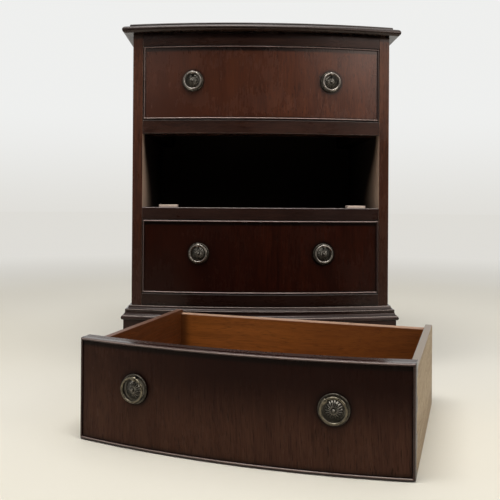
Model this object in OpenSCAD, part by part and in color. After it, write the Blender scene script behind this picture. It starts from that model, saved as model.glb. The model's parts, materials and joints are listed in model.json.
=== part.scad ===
/* [Carcase] */
// Width across the outer faces of the two sides
body_w = 460; // [400:1:560]
// Depth from the front corners of the sides to the back
body_d = 340; // [300:1:420]
// Radius of the bowed front, struck from a centre behind the chest
bow_r = 1100; // [900:10:1600]
// Thickness of the two sides
side_t = 18; // [15:0.5:24]
// Thickness of the back panel
back_t = 8; // [5:0.5:12]
// Width of the rabbet in each side that holds the back panel
rabbet_w = 9; // [6:0.5:12]
// Depth of the housings in the sides that hold the rails
housing_d = 6; // [3:0.5:9]

/* [Front rails] */
// Height of the feet, up to the underside of the carcase
foot_h = 95; // [70:1:120]
// Height from the carcase's underside to the top of the bottom rail
base_rail_h = 46; // [40:1:60]
// Height of each drawer opening
opening_h = 131; // [110:1:160]
// Thickness of the divider rail under the middle opening
lower_divider_t = 22; // [16:0.5:30]
// Thickness of the divider rail over the middle opening
upper_divider_t = 24; // [16:0.5:30]
// Height of the frieze rail under the top
top_rail_t = 22.5; // [16:0.5:30]
// Depth of the rails behind the bowed face
rail_d = 55; // [40:1:80]
// Thickness of the bottom board
base_board_t = 18; // [12:1:20]
// Width of the runners that carry the drawers
runner_w = 28; // [20:1:40]

/* [Top] */
// Thickness of the top board
top_t = 17; // [14:0.5:26]
// How far the nosing stands out past the carcase
top_overhang = 18.2; // [12:0.1:30]
// How far the raised field stands out past the carcase
field_overhang = 5.6; // [2:0.1:10]
// Height of the raised field above the nosing
field_step = 5.6; // [3:0.1:7]

/* [Base moulding] */
// Height of the base moulding
base_mould_h = 24.5; // [20:0.5:32]
// How far the base moulding stands out past the carcase
base_mould_w = 16.9; // [15.5:0.1:24]
// How far the feet stand out past the carcase
foot_out = 13; // [8:0.5:15]
// Thickness of the foot boards
foot_t = 18; // [14:1:24]
// Length of each foot bracket at its top
foot_len = 112; // [90:1:130]
// Length of each foot bracket at the floor
foot_toe = 58; // [45:1:70]
// Radius of the hollow in each foot bracket
foot_hollow_r = 46; // [35:1:50]
// Height of each foot bracket's square end, over the hollow
foot_lip = 10; // [6:1:20]
// Width of the square glue blocks in the foot corners
glue_block_w = 32; // [20:1:40]

/* [Drawers] */
// Gap at each side of a drawer in its opening
drawer_gap = 1.2; // [0.8:0.1:2]
// Gap under a drawer's sides on its runners
seat_gap = 0.3; // [0.2:0.05:0.6]
// Gap between a drawer front's top edge and the rail above it
front_top_gap = 0.5; // [0.3:0.05:1.5]
// How far the front board is lifted above the bottom edge of the sides
front_lift = 0.6; // [0.2:0.1:0.8]
// Thickness of the drawer fronts behind the bowed face
front_t = 20; // [18:0.5:26]
// Thickness of the drawer sides
drawer_side_t = 10; // [8:0.5:12]
// Distance of the drawer sides' top edges below the rail above them
side_headroom = 9.7; // [5:0.1:20]
// Gap between the backs of the closed drawers and the back panel
drawer_back_gap = 30; // [10:1:60]
// Thickness of the drawer backs
drawer_back_t = 10; // [8:0.5:14]
// Drop of the drawer back's top edge below the tops of the sides
drawer_back_drop = 5.3; // [2:0.1:12]
// Radius of the rounded top back corner of the drawer sides
side_corner_r = 7; // [3:0.5:12]
// Thickness of the drawer bottoms
bottom_t = 6; // [4:0.5:8]
// Height of the drawer bottoms above the sides' bottom edge
bottom_lift = 10; // [8:0.5:14]
// Depth of the grooves that hold the drawer bottoms
groove_d = 4; // [2:0.5:5]
// Length of the dovetail tails
tail_len = 10; // [6:0.5:11]
// Number of dovetail tails on each drawer side
tail_count = 3; // [2:1:5]

/* [Cockbead] */
// Thickness of the cockbead strips
bead_t = 3.6; // [2.5:0.1:5]
// Depth of the cockbead strips behind the drawer's face
bead_d = 8; // [6:0.5:9]
// How far the cockbead stands proud of the drawer's face
bead_proud = 2; // [1.9:0.1:3]

/* [Drawer stops] */
// Length of each drawer stop
stop_l = 34; // [20:1:50]
// Height of each drawer stop
stop_h = 4.6; // [3:0.1:6]
// Depth of each drawer stop
stop_d = 22; // [12:1:26]
// Distance from the left side to the middle of the left stops
stop_left_inset = 45; // [40:1:90]
// Distance from the right side to the middle of the right stops
stop_right_inset = 38; // [34:1:90]

/* [Ring pulls] */
// Radius of the round backplate
plate_r = 18.4; // [17:0.1:22]
// Thickness of the backplate
plate_t = 1.6; // [1.2:0.1:2.5]
// Radius of the wire of the plate's raised rim
rim_wire_r = 1.4; // [1:0.1:1.5]
// Radius of the fluted dome in the plate's middle
dome_r = 11; // [8:0.1:11.5]
// Height of the dome above the plate
dome_h = 5; // [2:0.1:6]
// Radius of the boss on the dome
boss_r = 2.2; // [1.5:0.1:3]
// Radius of the ring, measured to the middle of its wire
ring_r = 14.6; // [14.4:0.1:15]
// Radius of the ring's wire
wire_r = 1.65; // [1.4:0.05:1.7]
// Radius of the pin that the ring turns on
pin_r = 1.2; // [1:0.05:1.3]
// Radial running clearance between the pin and its barrel
pin_clear = 0.06; // [0.03:0.01:0.1]
// Outer radius of the barrel that holds the pin
barrel_r = 2.5; // [2.2:0.1:2.6]
// Length of the barrel
barrel_l = 5; // [4:0.1:6]
// Distance of the barrel's middle in front of the drawer's face
barrel_out = 7; // [4.4:0.1:9]
// Radius of the threaded shank behind the plate
shank_r = 2.4; // [2:0.1:3]
// Radial clearance of the shank in the drawer front and in its nut
shank_clear = 0.08; // [0.03:0.01:0.1]
// Radius of the nut across its corners
nut_r = 5.2; // [4.5:0.1:7]
// Thickness of the nut
nut_t = 3.5; // [3:0.1:5]
// Distance of the upper drawer's pulls from its ends
upper_pull_inset = 88.8; // [60:0.1:130]
// Distance of the middle drawer's left pull from its left end
middle_left_inset = 84.3; // [60:0.1:130]
// Distance of the middle drawer's right pull from its right end
middle_right_inset = 88.8; // [60:0.1:130]
// Distance of the lower drawer's pulls from its ends
lower_pull_inset = 100.8; // [60:0.1:130]
// Height of the upper drawer's pulls above its bottom edge
upper_pull_z = 68; // [40:0.5:90]
// Height of the middle drawer's pulls above its bottom edge
middle_pull_z = 75; // [40:0.5:90]
// Height of the lower drawer's pulls above its bottom edge
lower_pull_z = 72; // [40:0.5:90]

/* [Back screws] */
// Radius of the screws that hold the back panel
screw_r = 1.75; // [1.5:0.05:2.2]
// Length of the screws
screw_l = 24; // [20:1:30]
// Radius of the countersunk screw heads
screw_head_r = 3.4; // [2.8:0.1:4]
// Number of screws along each side
screw_count = 4; // [2:1:8]

/* [Middle drawer on the floor] */
// Sideways place of the drawer's front, from the chest's middle
floor_x = -46; // [-100:1:100]
// Gap between the base moulding's front and the nearest corner of the drawer on the floor
floor_gap = 9.3; // [5:0.1:200]
// Turn of the drawer on the floor, clockwise from above
floor_turn = 19.4; // [0:0.1:30]
// Turn of its left pull about the drawer front, clockwise
left_pull_turn = 12; // [-30:1:30]
// Turn of its right pull about the drawer front, clockwise
right_pull_turn = -44; // [-60:1:30]

/* [Hidden] */

// Bow: the arc's centre lies behind the chest, and the arc meets the sides' front corners at y = 0
bow_cy = sqrt(pow(bow_r, 2) - pow(body_w / 2, 2));
sweep_margin = 60;
sweep_half = atan((body_w / 2 + sweep_margin) / (bow_cy - body_d - sweep_margin));
sweep_r_in = bow_cy - body_d - sweep_margin;
arc_fn = 720;
tiny = 0.01;
cut = 1;

// Heights, from the floor up
base_rail_z = foot_h + base_rail_h;
lower_opening_z = base_rail_z;
middle_opening_z = lower_opening_z + opening_h + lower_divider_t;
upper_opening_z = middle_opening_z + opening_h + upper_divider_t;
frieze_z = upper_opening_z + opening_h;
top_z = frieze_z + top_rail_t;
overall_h = top_z + top_t;

// Widths and depths
opening_w = body_w - 2 * side_t;
back_y = body_d - back_t;
drawer_w = opening_w - 2 * drawer_gap;
drawer_d = back_y - drawer_back_gap;
stops_x = [stop_left_inset - opening_w / 2, opening_w / 2 - stop_right_inset];
inner_half = drawer_w / 2 - drawer_side_t;
front_h = opening_h - seat_gap - front_lift - front_top_gap;
front_top = front_lift + front_h;
drawer_side_h = opening_h - seat_gap - side_headroom;
drawer_back_h = drawer_side_h - drawer_back_drop;
bead_window = [drawer_w - 2 * bead_t, front_h - 2 * bead_t];
bead_skew = bead_t * tan(asin(drawer_w / 2 / bow_r));
bead_lap = 0.1;
groove_clear = 0.1;
tail_tip_y = front_y(drawer_w / 2) + front_t - tail_len;
tail_flare = 2.5;
tail_space = 16;
tail_w = drawer_side_h / tail_count - tail_space;

// Pulls
barrel_gap = 0.6;
pin_half_angle = asin((barrel_l / 2 + barrel_gap) / ring_r);
pin_z = ring_r * cos(pin_half_angle);
pin_overlap = 0.3;
pin_l = barrel_l + 2 * (barrel_gap + pin_overlap);
post_r = barrel_r - barrel_gap;
shank_tip = 3;
shank_l = front_t + nut_t + shank_tip;
nut_seat = 0.03;

// The floor drawer's front, from the corner of its back that lies nearest to the chest
floor_y = floor_gap - front_y(0) + base_mould_w + drawer_w / 2 * sin(floor_turn)
    + (drawer_d + bead_proud - front_y(drawer_w / 2)) * cos(floor_turn);

// The floor drawer's corners give the middle of the whole layout, which is the origin
floor_low_y = -floor_y - drawer_w / 2 * sin(floor_turn);
floor_high_x = floor_x + drawer_w / 2 * cos(floor_turn)
    + (drawer_d - front_y(drawer_w / 2)) * sin(floor_turn);
mid_x = (max(floor_high_x, body_w / 2 + top_overhang) - body_w / 2 - top_overhang) / 2;
mid_y = (floor_low_y + body_d) / 2;

mahogany = [0.22, 0.09, 0.06];
carcase_wood = [0.16, 0.07, 0.05];
inner_wood = [0.50, 0.30, 0.14];
raw_wood = [0.70, 0.58, 0.45];
bronze = [0.33, 0.27, 0.18];
steel = [0.60, 0.60, 0.60];

// The bowed face's place on y at a distance x from the middle
function front_y(x) = bow_cy - sqrt(pow(bow_r, 2) - pow(x, 2));
// Points along an arc from angle a to angle b
function arc_points(centre, r, a, b, steps) =
    [for (i = [0:steps]) centre + r * [cos(a + (b - a) * i / steps), sin(a + (b - a) * i / steps)]];

// Outline of the mouldings round the top, as distance out from the carcase and height, from below up
nosing_r = (top_t - field_step) / 2;
nosing_sweep = 70;
nosing_foot = 1;
nosing_flat = top_overhang - nosing_r + nosing_foot;
nosing_top = top_z + 2 * nosing_r;
field_foot = 1;
field_edge_r = 2;
top_profile = concat(
    [[0, top_z], [nosing_flat, top_z]],
    arc_points([top_overhang - nosing_r, top_z + nosing_r], nosing_r, -nosing_sweep, nosing_sweep, 8),
    [[nosing_flat, nosing_top], [field_overhang + field_foot, nosing_top],
     [field_overhang, nosing_top + field_foot]],
    arc_points([field_overhang - field_edge_r, overall_h - field_edge_r], field_edge_r, 0, 90, 4),
    [[0, overall_h]]);

// Outline of the base moulding's edge: torus, cove, step and ovolo, from below up
mould_torus_r = 2.6;
mould_fillet = 0.6;
mould_cove_r = 3.4;
mould_top_out = 4.3;
mould_ovolo_drop = 1.5;
torus_out = base_mould_w - mould_torus_r;
mould_step_out = torus_out - mould_fillet - mould_cove_r;
mould_cove_z = foot_h + 2 * mould_torus_r + mould_fillet;
ovolo_r = mould_step_out - mould_top_out - mould_fillet;
ovolo_z = foot_h + base_mould_h - mould_ovolo_drop - ovolo_r;
base_profile = concat(
    [[0, foot_h]],
    arc_points([torus_out, foot_h + mould_torus_r], mould_torus_r, -90, 90, 8),
    arc_points([torus_out - mould_fillet, mould_cove_z + mould_cove_r], mould_cove_r, 270, 180, 5),
    arc_points([mould_top_out + mould_fillet, ovolo_z], ovolo_r, 0, 90, 6),
    [[mould_top_out, ovolo_z + ovolo_r], [mould_top_out, foot_h + base_mould_h],
     [0, foot_h + base_mould_h]]);

// Moves the chest's own frame, whose zero is between the front corners, to the part's origin
module place() {
    translate([-mid_x, -mid_y, 0]) children();
}

// Part of a ring between two radii about the bow's centre
module bow_sector(r_in, r_out, z, h) {
    translate([0, bow_cy, z]) rotate([0, 0, -90 - sweep_half])
        rotate_extrude(angle = 2 * sweep_half, $fn = arc_fn)
            translate([r_in, 0]) square([r_out - r_in, h]);
}

// Slab with a bowed front, offset outward from the carcase at the front and both sides
module bowed_slab(out, z, h, y_end) {
    intersection() {
        bow_sector(sweep_r_in, bow_r + out, z, h);
        translate([-body_w / 2 - out, -body_w, z])
            cube([body_w + 2 * out, body_w + y_end, h]);
    }
}

// Place on y of the mitred corner of an edge that stands out past the carcase
function mitre_y(out) = bow_cy - sqrt(pow(bow_r + out, 2) - pow(body_w / 2 + out, 2));

// Everything in front of the two mitres of an edge, over the heights of its profile
module front_wedge(profile, out) {
    low = profile[0][1];
    high = profile[len(profile) - 1][1];
    reach = sweep_margin / -mitre_y(out);
    far = [body_w / 2 + out * reach, -sweep_margin];
    translate([0, 0, low - cut]) linear_extrude(high - low + 2 * cut)
        polygon([[-body_w / 2, 0], [-far[0], far[1]], far, [body_w / 2, 0]]);
}

// Moulded edge along the bowed front, mitred at both ends
module front_edge(profile, out) {
    intersection() {
        translate([0, bow_cy, 0]) rotate([0, 0, -90 - sweep_half])
            rotate_extrude(angle = 2 * sweep_half, $fn = arc_fn)
                polygon([for (p = profile) [bow_r + p[0], p[1]]]);
        front_wedge(profile, out);
    }
}

// The same edge along the right side, mitred at the front and cut square at the back
module right_edge(profile, out) {
    difference() {
        translate([body_w / 2, body_d, 0]) rotate([90, 0, 0]) linear_extrude(body_d + sweep_margin / 2)
            polygon(profile);
        front_wedge(profile, out);
    }
}

// Box centred on x
module centred_box(w, y0, y1, z0, z1) {
    translate([-w / 2, y0, z0]) cube([w, y1 - y0, z1 - z0]);
}

// A pair of mirrored copies, right and left
module both_sides() {
    children();
    mirror([1, 0, 0]) children();
}

// Places of the back panel's screws along one side
module at_screws() {
    end_space = 45;
    low = foot_h + end_space;
    high = top_z - end_space;
    for (i = [0:screw_count - 1])
        translate([opening_w / 2 + rabbet_w / 2, body_d, low + (high - low) * i / (screw_count - 1)])
            rotate([90, 0, 0]) children();
}

// Screw with a countersunk head, flush at z = 0 and pointing along +z
module screw(extra) {
    cylinder(r = screw_r + extra, h = screw_l + extra, $fn = 32);
    cylinder(r1 = screw_head_r + extra, r2 = screw_r + extra, h = screw_head_r - screw_r, $fn = 32);
}

// ---- Carcase ----

module top_board() {
    color(mahogany) bowed_slab(0, top_z, top_t, body_d);
}

module top_edge_front() {
    color(mahogany) front_edge(top_profile, top_overhang);
}

module top_edge_right() {
    color(mahogany) right_edge(top_profile, top_overhang);
}

module top_edge_left() {
    color(mahogany) mirror([1, 0, 0]) right_edge(top_profile, top_overhang);
}

module carcase_side() {
    difference() {
        intersection() {
            bow_sector(sweep_r_in, bow_r, foot_h, top_z - foot_h);
            translate([body_w / 2 - side_t, -body_w, foot_h])
                cube([side_t, body_w + body_d, top_z - foot_h]);
        }
        translate([body_w / 2 - side_t - tiny, back_y, foot_h - tiny])
            cube([rabbet_w + tiny, back_t + tiny, top_z - foot_h + 2 * tiny]);
        for (z = rail_spans) rail_end(z[0], z[1]);
        at_screws() screw(pin_clear);
    }
}

// Bottom and top of every front rail
rail_spans = [[foot_h + base_board_t, base_rail_z],
    [middle_opening_z - lower_divider_t, middle_opening_z],
    [upper_opening_z - upper_divider_t, upper_opening_z],
    [frieze_z, top_z]];
rail_shoulder = 8;

// The stub of a rail that fills a housing in the right side, set back behind the bowed face
module rail_end(z0, z1) {
    intersection() {
        bow_sector(bow_r - rail_d, bow_r - rail_shoulder, z0, z1 - z0);
        translate([opening_w / 2 - tiny, -body_w, z0]) cube([housing_d + tiny, 2 * body_w, z1 - z0]);
    }
}

module left_side() {
    color(carcase_wood) mirror([1, 0, 0]) carcase_side();
}

module right_side() {
    color(carcase_wood) carcase_side();
}

module back_panel() {
    color(inner_wood) difference() {
        centred_box(opening_w + 2 * rabbet_w, back_y, body_d, foot_h, top_z);
        both_sides() at_screws() screw(pin_clear);
    }
}

module base_board() {
    color(inner_wood) intersection() {
        bow_sector(sweep_r_in, bow_r - rail_shoulder, foot_h, base_board_t);
        centred_box(opening_w, -body_w, back_y, foot_h, foot_h + base_board_t);
    }
}

module front_rail(span) {
    intersection() {
        bow_sector(bow_r - rail_d, bow_r, span[0], span[1] - span[0]);
        centred_box(opening_w, -body_w, body_d, span[0], span[1]);
    }
    both_sides() rail_end(span[0], span[1]);
}

module bottom_rail() {
    color(mahogany) front_rail(rail_spans[0]);
}

module lower_divider() {
    color(mahogany) front_rail(rail_spans[1]);
}

module upper_divider() {
    color(mahogany) front_rail(rail_spans[2]);
}

module frieze_rail() {
    color(mahogany) front_rail(rail_spans[3]);
}

// A pair of strips along the sides, from the rails' back to the back panel
module runner_pair(z0, z1) {
    both_sides() difference() {
        translate([opening_w / 2 - runner_w, 0, z0]) cube([runner_w, back_y, z1 - z0]);
        bow_sector(bow_r - rail_d, bow_r + sweep_margin, z0 - cut, z1 - z0 + 2 * cut);
    }
}

module lower_runners() {
    color(inner_wood) runner_pair(foot_h + base_board_t, base_rail_z);
}

module middle_runners() {
    color(inner_wood) runner_pair(rail_spans[1][0], rail_spans[1][1]);
}

module upper_runners() {
    color(inner_wood) runner_pair(rail_spans[2][0], rail_spans[2][1]);
}

module top_kickers() {
    color(inner_wood) runner_pair(frieze_z, top_z);
}

// Two stops on each rail, which meet the back of a closed drawer's front
module drawer_stops() {
    color(raw_wood) for (z = [lower_opening_z, middle_opening_z, upper_opening_z], x = stops_x)
        intersection() {
            bow_sector(bow_r - front_t - seat_gap - stop_d, bow_r - front_t - seat_gap, z, stop_h);
            translate([x - stop_l / 2, -body_w, z]) cube([stop_l, 2 * body_w, stop_h]);
        }
}

// ---- Base ----

module base_moulding_front() {
    color(mahogany) front_edge(base_profile, base_mould_w);
}

module base_moulding_right() {
    color(mahogany) right_edge(base_profile, base_mould_w);
}

module base_moulding_left() {
    color(mahogany) mirror([1, 0, 0]) right_edge(base_profile, base_mould_w);
}

// Side view of the space between two foot brackets that stand a length apart
module foot_gap(length) {
    toe = length / 2 - foot_toe;
    heel = length / 2 - foot_len;
    spring = foot_h - foot_hollow_r - foot_lip;
    polygon(concat([[-toe, -cut]], arc_points([foot_hollow_r - toe, spring], foot_hollow_r, 180, 90, 8),
        [[-heel, foot_h - foot_lip], [-heel, foot_h + cut], [heel, foot_h + cut], [heel, foot_h - foot_lip]],
        arc_points([toe - foot_hollow_r, spring], foot_hollow_r, 90, 0, 8), [[toe, -cut]]));
}

// All four brackets: a bowed wall with gaps cut through the front, the back and the sides
module foot_wall() {
    difference() {
        bowed_slab(foot_out, 0, foot_h, body_d);
        translate([0, 0, -cut]) bowed_slab(foot_out - foot_t, 0, foot_h + 2 * cut, body_d - foot_t);
        translate([0, body_w, 0]) rotate([90, 0, 0]) linear_extrude(2 * body_w)
            foot_gap(body_w + 2 * foot_out);
        translate([-body_w, body_d / 2, 0]) rotate([90, 0, 90]) linear_extrude(2 * body_w)
            foot_gap(body_d + 2 * foot_out);
    }
}

// One of the four brackets, chosen by its side and end
module foot(x_sign, y_sign) {
    intersection() {
        foot_wall();
        translate([x_sign > 0 ? 0 : -body_w, y_sign > 0 ? body_d / 2 : -body_w, 0])
            cube([body_w, y_sign > 0 ? body_w : body_w + body_d / 2, foot_h]);
    }
}

module foot_front_left() {
    color(mahogany) foot(-1, -1);
}

module foot_front_right() {
    color(mahogany) foot(1, -1);
}

module foot_rear_left() {
    color(mahogany) foot(-1, 1);
}

module foot_rear_right() {
    color(mahogany) foot(1, 1);
}

// Square posts glued into the four corners behind the brackets
module foot_glue_blocks() {
    block_lift = 4;
    reach = body_w / 2 + foot_out - foot_t;
    color(raw_wood) intersection() {
        bowed_slab(foot_out - foot_t, block_lift, foot_h - block_lift, body_d - foot_t);
        both_sides() {
            translate([reach - glue_block_w, -body_w, 0])
                cube([glue_block_w, body_w + front_y(reach) + foot_t - foot_out + glue_block_w, foot_h]);
            translate([reach - glue_block_w, body_d - foot_t - glue_block_w, 0])
                cube([glue_block_w, glue_block_w, foot_h]);
        }
    }
}

module back_screws() {
    color(steel) both_sides() at_screws() screw(0);
}

// ---- Drawers, in the frame of a closed drawer with its sides' bottom edge at z = 0 ----

// Side view of the tails, from their tips back past the front board, on the y-z plane
module tail_outline() {
    step = drawer_side_h / tail_count;
    for (i = [0:tail_count - 1])
        let (z = step * (i + 0.5), back = tail_len + drawer_side_t)
            polygon([[0, z - tail_w / 2], [0, z + tail_w / 2],
                [back, z + tail_w / 2 - tail_flare], [back, z - tail_w / 2 + tail_flare]]);
}

// Prisms of the right side's tails
module tails() {
    translate([inner_half, tail_tip_y, 0]) rotate([90, 0, 90]) linear_extrude(drawer_side_t)
        tail_outline();
}

module drawer_front(name) {
    difference() {
        intersection() {
            bow_sector(bow_r - front_t, bow_r, front_lift, front_h);
            centred_box(drawer_w, -body_w, body_d, 0, front_top);
        }
        difference() {
            bow_sector(bow_r - bead_d, bow_r + cut, front_lift - cut, front_h + 2 * cut);
            translate([-bead_window[0] / 2, -body_w, front_lift + bead_t])
                cube([bead_window[0], 2 * body_w, bead_window[1]]);
        }
        both_sides() tails();
        bow_sector(bow_r - front_t - cut, bow_r - front_t + groove_d,
            bottom_lift, bottom_t + 2 * groove_clear);
        at_left_pull(name) shank(shank_clear);
        at_right_pull(name) shank(shank_clear);
    }
}

// Section of a cockbead strip: depth along x, with a round nose, and thickness along y
module bead_section(depth) {
    translate([-depth, 0]) square([depth + bead_proud - bead_t / 2, bead_t]);
    translate([bead_proud - bead_t / 2, bead_t / 2]) circle(r = bead_t / 2, $fn = 32);
}

// Level strip along the bow
module level_bead(z) {
    translate([0, bow_cy, z]) rotate([0, 0, -90 - sweep_half])
        rotate_extrude(angle = 2 * sweep_half, $fn = arc_fn) translate([bow_r, 0]) bead_section(bead_d);
}

// Front view of the mitred end of the frame: the part that belongs to the level strips
module bead_mitre(lap) {
    half = drawer_w / 2 - lap;
    rotate([90, 0, 0]) translate([0, 0, -body_w]) linear_extrude(2 * body_w)
        for (flip = [0, 1])
            translate([0, front_lift + flip * front_h]) mirror([0, flip])
                polygon([[-half, 0], [half, 0], [half - bead_t, bead_t], [bead_t - half, bead_t]]);
}

// Two strips along the bow, and two straight ones whose backs clear the curved rebate
module cockbead() {
    intersection() {
        union() {
            level_bead(front_lift);
            level_bead(front_top - bead_t);
        }
        bead_mitre(0);
    }
    both_sides() difference() {
        translate([drawer_w / 2, front_y(drawer_w / 2 - bead_t / 2), front_lift]) rotate([0, 0, -90])
            linear_extrude(front_h) mirror([0, 1]) bead_section(bead_d - bead_skew);
        bead_mitre(bead_lap);
    }
}

module drawer_right_side() {
    difference() {
        translate([inner_half, 0, 0]) rotate([90, 0, 90]) linear_extrude(drawer_side_t)
            polygon(concat([[tail_tip_y, 0], [drawer_d, 0]],
                arc_points([drawer_d - side_corner_r, drawer_side_h - side_corner_r],
                    side_corner_r, 0, 90, 8),
                [[tail_tip_y, drawer_side_h]]));
        difference() {
            bow_sector(bow_r - front_t, bow_r + cut, -cut, drawer_side_h + 2 * cut);
            tails();
        }
        translate([inner_half - tiny, -body_w, bottom_lift])
            cube([groove_d + tiny, 3 * body_w, bottom_t + 2 * groove_clear]);
    }
}

module drawer_left_side() {
    mirror([1, 0, 0]) drawer_right_side();
}

module drawer_back() {
    edge_r = 3;
    low = bottom_lift + bottom_t + 2 * groove_clear;
    rotate([90, 0, 90]) translate([0, 0, -inner_half]) linear_extrude(2 * inner_half)
        polygon(concat([[drawer_d - drawer_back_t, low], [drawer_d, low]],
            arc_points([drawer_d - edge_r, drawer_back_h - edge_r], edge_r, 0, 90, 4),
            arc_points([drawer_d - drawer_back_t + edge_r, drawer_back_h - edge_r], edge_r, 90, 180, 4)));
}

module drawer_bottom() {
    panel_z = bottom_lift + groove_clear;
    reach = groove_d - groove_clear;
    intersection() {
        bow_sector(sweep_r_in, bow_r - front_t + reach, panel_z, bottom_t);
        centred_box(2 * (inner_half + reach), -body_w, drawer_d, panel_z, panel_z + bottom_t);
    }
}

// ---- Ring pulls: the drawer's face is the plane y = 0, and the pull stands out along -y ----

module at_pull(x, z, turn) {
    translate([0, bow_cy, z]) rotate([0, 0, asin(x / bow_r)]) translate([0, -bow_r, 0])
        rotate([0, turn, 0]) children();
}

module shank(extra) {
    rotate([-90, 0, 0]) translate([0, 0, -tiny]) cylinder(r = shank_r + extra, h = shank_l + tiny, $fn = 32);
}

module pull_plate() {
    dome_ball_r = (pow(dome_r, 2) + pow(dome_h, 2)) / (2 * dome_h);
    shank(0);
    difference() {
        union() {
            rotate([90, 0, 0]) {
                cylinder(r = plate_r - rim_wire_r, h = plate_t, $fn = 96);
                translate([0, 0, plate_t]) rotate_extrude($fn = 96)
                    translate([plate_r - rim_wire_r, 0]) circle(r = rim_wire_r, $fn = 24);
                intersection() {
                    translate([0, 0, plate_t + dome_h - dome_ball_r]) sphere(r = dome_ball_r, $fn = 96);
                    cylinder(r = dome_r, h = plate_t + dome_h, $fn = 96);
                }
                translate([0, 0, plate_t + dome_h]) sphere(r = boss_r, $fn = 32);
                translate([0, pin_z, 0]) cylinder(r = post_r, h = barrel_out, $fn = 32);
            }
            translate([-barrel_l / 2, -barrel_out, pin_z]) rotate([0, 90, 0])
                cylinder(r = barrel_r, h = barrel_l, $fn = 48);
        }
        translate([-barrel_l, -barrel_out, pin_z]) rotate([0, 90, 0])
            cylinder(r = pin_r + pin_clear, h = 2 * barrel_l, $fn = 32);
        rotate([-90, 0, 0]) difference() {
            cylinder(r = plate_r + cut, h = rim_wire_r, $fn = 96);
            cylinder(r = shank_r, h = rim_wire_r, $fn = 32);
        }
    }
}

module pull_ring() {
    translate([0, -barrel_out, 0]) {
        rotate([90, 0, 0]) rotate([0, 0, 90 + pin_half_angle])
            rotate_extrude(angle = 360 - 2 * pin_half_angle, $fn = 128)
                translate([ring_r, 0]) circle(r = wire_r, $fn = 32);
        translate([-pin_l / 2, 0, pin_z]) rotate([0, 90, 0]) cylinder(r = pin_r, h = pin_l, $fn = 32);
    }
}

// Six-sided nut on the shank, against the back of the drawer front
module pull_nut() {
    translate([0, front_t + nut_seat, 0]) rotate([-90, 0, 0]) difference() {
        cylinder(r = nut_r, h = nut_t, $fn = 6);
        translate([0, 0, -cut]) cylinder(r = shank_r + shank_clear, h = nut_t + 2 * cut, $fn = 32);
    }
}

// ---- Places of the three drawers ----

module at_upper() {
    translate([0, 0, upper_opening_z + seat_gap]) children();
}

module at_lower() {
    translate([0, 0, lower_opening_z + seat_gap]) children();
}

module at_middle() {
    translate([floor_x, -floor_y, 0]) rotate([0, 0, -floor_turn])
        translate([0, bead_proud - front_y(drawer_w / 2), 0]) children();
}

// Puts a child at a drawer's place
module at_drawer(name) {
    if (name == "upper") at_upper() children();
    if (name == "middle") at_middle() children();
    if (name == "lower") at_lower() children();
}

// Pull places of each drawer: left and right distance from its ends, height, left and right turn
function pulls(name) =
    name == "upper" ? [upper_pull_inset, upper_pull_inset, upper_pull_z, 0, 0] :
    name == "middle" ? [middle_left_inset, middle_right_inset, middle_pull_z,
        left_pull_turn, right_pull_turn] :
    [lower_pull_inset, lower_pull_inset, lower_pull_z, 0, 0];

// Puts a child at the left pull of a drawer
module at_left_pull(name) {
    p = pulls(name);
    at_pull(p[0] - drawer_w / 2, p[2], p[3]) children();
}

// Puts a child at the right pull of a drawer
module at_right_pull(name) {
    p = pulls(name);
    at_pull(drawer_w / 2 - p[1], p[2], p[4]) children();
}

module drawer_part(name, piece) {
    at_drawer(name) {
        if (piece == "drawer_front") color(mahogany) drawer_front(name);
        if (piece == "cockbead") color(carcase_wood) cockbead();
        if (piece == "drawer_left_side") color(raw_wood) drawer_left_side();
        if (piece == "drawer_right_side") color(raw_wood) drawer_right_side();
        if (piece == "drawer_back") color(inner_wood) drawer_back();
        if (piece == "drawer_bottom") color(inner_wood) drawer_bottom();
        if (piece == "left_pull_plate") color(bronze) at_left_pull(name) pull_plate();
        if (piece == "right_pull_plate") color(bronze) at_right_pull(name) pull_plate();
        if (piece == "left_pull_ring") color(bronze) at_left_pull(name) pull_ring();
        if (piece == "right_pull_ring") color(bronze) at_right_pull(name) pull_ring();
        if (piece == "pull_nuts") color(steel) {
            at_left_pull(name) pull_nut();
            at_right_pull(name) pull_nut();
        }
    }
}

place() top_board();
place() top_edge_front();
place() top_edge_left();
place() top_edge_right();
place() left_side();
place() right_side();
place() back_panel();
place() base_board();
place() frieze_rail();
place() upper_divider();
place() lower_divider();
place() bottom_rail();
place() top_kickers();
place() upper_runners();
place() middle_runners();
place() lower_runners();
place() drawer_stops();
place() base_moulding_front();
place() base_moulding_left();
place() base_moulding_right();
place() foot_front_left();
place() foot_front_right();
place() foot_rear_left();
place() foot_rear_right();
place() foot_glue_blocks();
place() back_screws();
for (drawer = ["upper", "middle", "lower"], piece = ["drawer_front", "cockbead", "drawer_left_side",
    "drawer_right_side", "drawer_back", "drawer_bottom", "left_pull_plate", "right_pull_plate",
    "left_pull_ring", "right_pull_ring", "pull_nuts"])
    place() drawer_part(drawer, piece);
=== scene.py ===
import json
from math import atan2, cos, hypot, pi, radians, sin, sqrt

import bmesh
import bpy
from mathutils import Matrix, Vector


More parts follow.
